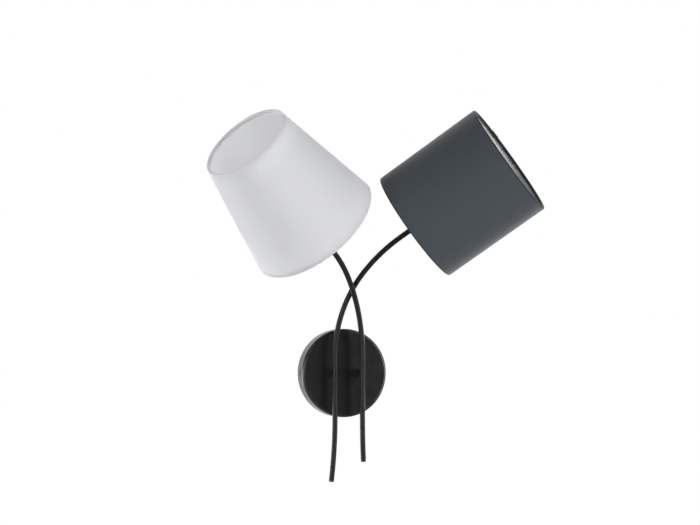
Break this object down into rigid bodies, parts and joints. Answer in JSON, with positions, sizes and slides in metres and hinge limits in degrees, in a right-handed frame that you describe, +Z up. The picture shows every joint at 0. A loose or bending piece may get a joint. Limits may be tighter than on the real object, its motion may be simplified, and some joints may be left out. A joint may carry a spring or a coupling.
{
  "type": "double arm wall sconce",
  "caption": "Wall light with two bent tube arms that cross in front of a round canopy, each with a lampholder and a turned-out fabric shade",
  "frame": {"origin": "middle of the canopy on the wall face, in the plane of the bracket's back", "axes": "+Z up, +Y into the wall, +X to the right for someone who faces the wall"},
  "size_m": [0.383, 0.1939, 0.4125],
  "materials": {
    "black_coat": "satin black powder coat",
    "screw_black": "black oxide",
    "zinc_steel": "bright zinc plate",
    "rivet_alu": "plain",
    "contact_brass": "plain",
    "bush_metal": "satin black",
    "black_plastic": "fine matt",
    "holder_plastic": "white thermoplastic",
    "holder_core_plastic": "white thermoset",
    "terminal_plastic": "natural white",
    "live_lead": "brown insulation",
    "neutral_lead": "blue insulation",
    "earth_lead": "green and yellow insulation",
    "frame_coat": "white coat on wire",
    "lining": "white laminate",
    "white_fabric": "white chintz weave",
    "dark_fabric": "anthracite chintz weave"
  },
  "bodies": {
    "wall_unit": {"canopy": "black_coat", "wall_bracket": "zinc_steel", "terminal_block": "terminal_plastic", "terminal_inserts": "contact_brass", "terminal_screws": "zinc_steel", "terminal_rivets": "rivet_alu", "earth_screw": "contact_brass", "earth_wire": "earth_lead", "stub_nuts": "zinc_steel", "stub_washers": "zinc_steel", "left_live_wire": "live_lead", "left_neutral_wire": "neutral_lead", "left_stub": "black_coat", "left_arm": "black_coat", "left_arm_plug": "black_plastic", "left_bush": "bush_metal", "left_holder_cap": "holder_plastic", "left_holder_core": "holder_core_plastic", "left_centre_contact": "contact_brass", "left_side_contact": "contact_brass", "left_holder_skirt": "holder_plastic", "right_live_wire": "live_lead", "right_neutral_wire": "neutral_lead", "right_stub": "black_coat", "right_arm": "black_coat", "right_arm_plug": "black_plastic", "right_bush": "bush_metal", "right_holder_cap": "holder_plastic", "right_holder_core": "holder_core_plastic", "right_centre_contact": "contact_brass", "right_side_contact": "contact_brass", "right_holder_skirt": "holder_plastic"},
    "canopy_screw_left": {"canopy_screw_left": "screw_black"},
    "canopy_screw_right": {"canopy_screw_right": "screw_black"},
    "left_shade": {"left_shade_frame": "frame_coat", "left_shade_top_ring": "frame_coat", "left_shade_cover": "white_fabric", "left_shade_lining": "lining"},
    "left_ring": {"left_shade_ring": "holder_plastic"},
    "right_shade": {"right_shade_frame": "frame_coat", "right_shade_top_ring": "frame_coat", "right_shade_cover": "dark_fabric", "right_shade_lining": "lining"},
    "right_ring": {"right_shade_ring": "holder_plastic"}
  },
  "joints": [
    {"name": "left_shade_turn", "type": "hinge", "parent": "wall_unit", "child": "left_shade", "pos_m": [-0.06117, -0.08443, 0.16431], "axis": [-0.6822, -0.3254, 0.6547], "continuous": true},
    {"name": "left_ring_turn", "type": "hinge", "parent": "wall_unit", "child": "left_ring", "pos_m": [-0.06117, -0.08443, 0.16431], "axis": [-0.6822, -0.3254, 0.6547], "continuous": true},
    {"name": "right_shade_turn", "type": "hinge", "parent": "wall_unit", "child": "right_shade", "pos_m": [0.0684, -0.08195, 0.16751], "axis": [0.7034, -0.4294, 0.5664], "continuous": true},
    {"name": "right_ring_turn", "type": "hinge", "parent": "wall_unit", "child": "right_ring", "pos_m": [0.0684, -0.08195, 0.16751], "axis": [0.7034, -0.4294, 0.5664], "continuous": true},
    {"name": "canopy_screw_left_turn", "type": "hinge", "parent": "wall_unit", "child": "canopy_screw_left", "pos_m": [-0.05, -0.00965, 0], "axis": [1, 0, 0], "continuous": true},
    {"name": "canopy_screw_right_turn", "type": "hinge", "parent": "wall_unit", "child": "canopy_screw_right", "pos_m": [0.05, -0.00965, 0], "axis": [1, 0, 0], "continuous": true}
  ]
}
